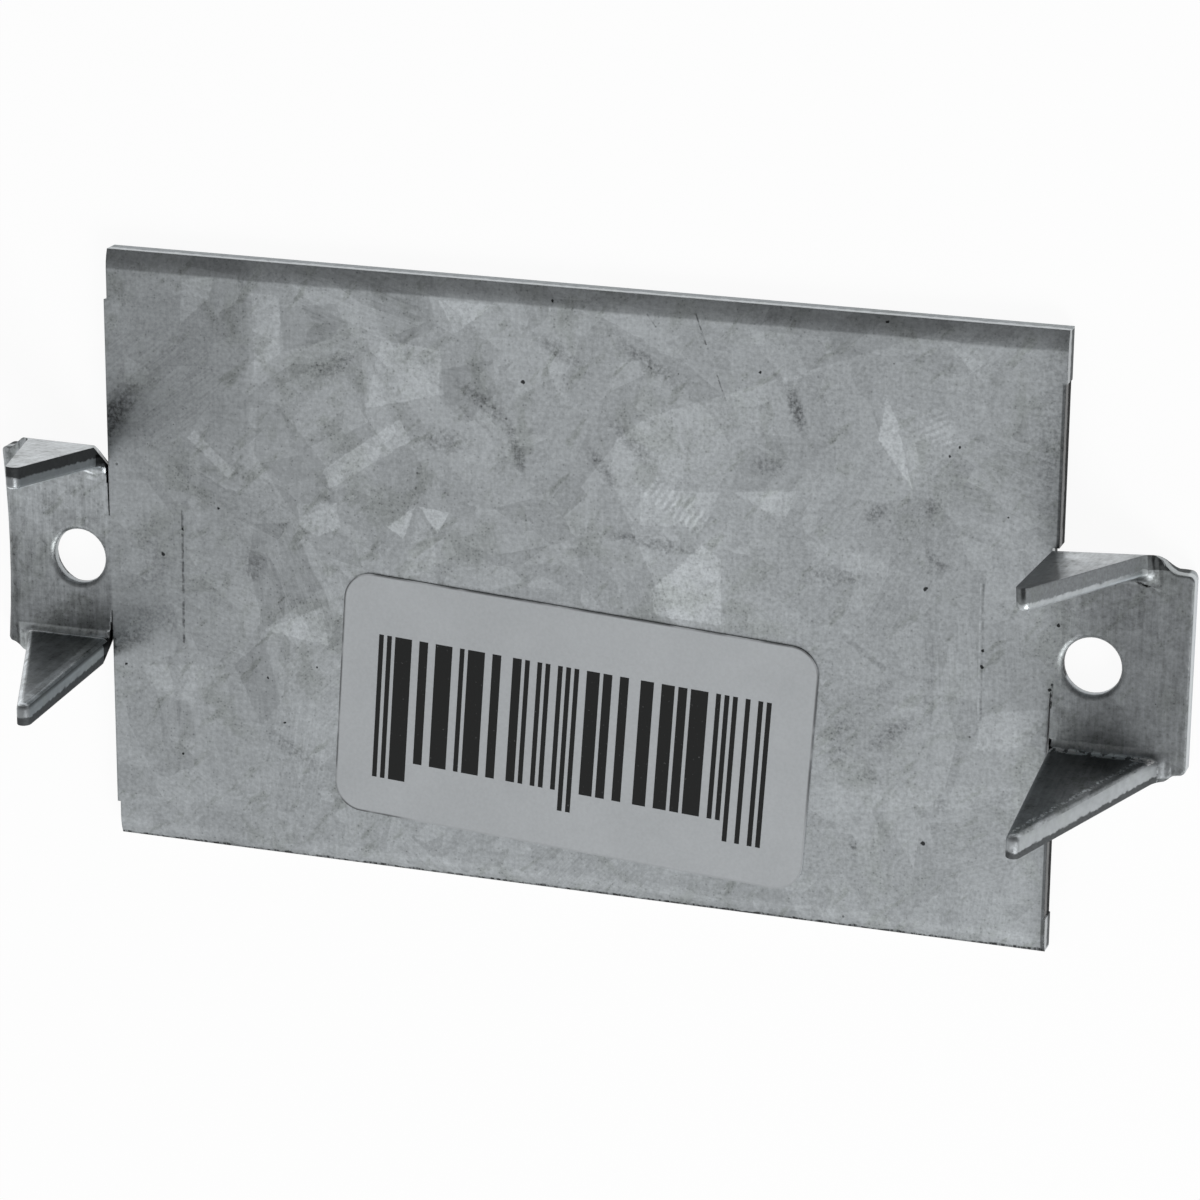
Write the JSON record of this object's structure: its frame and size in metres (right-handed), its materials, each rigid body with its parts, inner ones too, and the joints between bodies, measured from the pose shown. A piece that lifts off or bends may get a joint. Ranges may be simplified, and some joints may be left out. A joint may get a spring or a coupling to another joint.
{
  "type": "nail stop plate",
  "caption": "Flat galvanised steel plate with a pierced nailing tab and folded prongs at each end and a paper label, fixed over a stud to stop nails.",
  "frame": {"origin": "middle of the plate's flat back", "axes": "+X along the plate's length, +Y across it towards the edge away from the label, +Z from the flat back towards the prongs"},
  "size_m": [0.0758, 0.0382, 0.0131],
  "materials": {
    "galvanised_steel": "satin zinc coating with faint spangle",
    "label_paper": "matt"
  },
  "bodies": {
    "root": {"stop_plate": "galvanised_steel", "label": "label_paper"}
  },
  "joints": []
}
